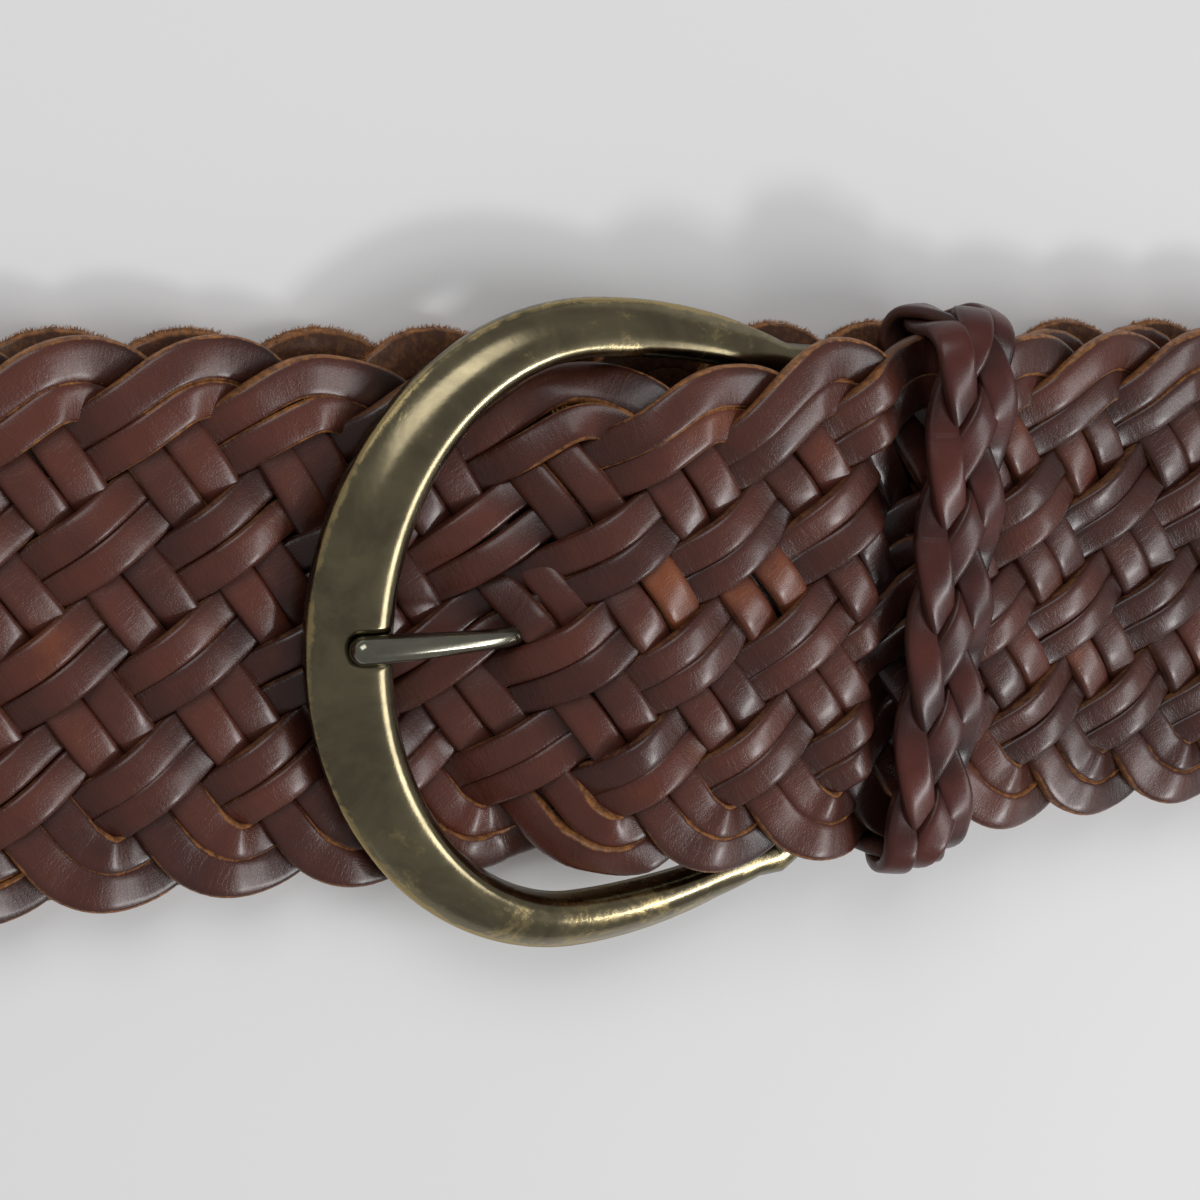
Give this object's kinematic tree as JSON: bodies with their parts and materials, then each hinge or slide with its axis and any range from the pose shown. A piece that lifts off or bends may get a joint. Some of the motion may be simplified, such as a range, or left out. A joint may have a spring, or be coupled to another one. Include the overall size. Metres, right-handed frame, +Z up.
{
  "type": "braided leather belt",
  "caption": "Wide braided leather belt, fastened and lying flat in a closed loop: half-oval buckle frame with bar, prong, braided keeper and free tip",
  "frame": {"origin": "on the surface that the belt lies on, under the middle of its bounding box", "axes": "+X along the belt towards its free tip, +Y across the belt, +Z up"},
  "size_m": [0.4242, 0.0882, 0.0283],
  "materials": {
    "strap_leather": "braided red-brown laces, half gloss, with grain and raw tan edges",
    "frame_brass": "antiqued, olive patina worn through on the crest",
    "prong_brass": "antiqued, worn bright on top",
    "keeper_leather": "smooth dark red-brown laces, glossier than the strap"
  },
  "bodies": {
    "root": {"strap": "strap_leather", "buckle_frame": "frame_brass", "prong": "prong_brass", "keeper": "keeper_leather"}
  },
  "joints": []
}
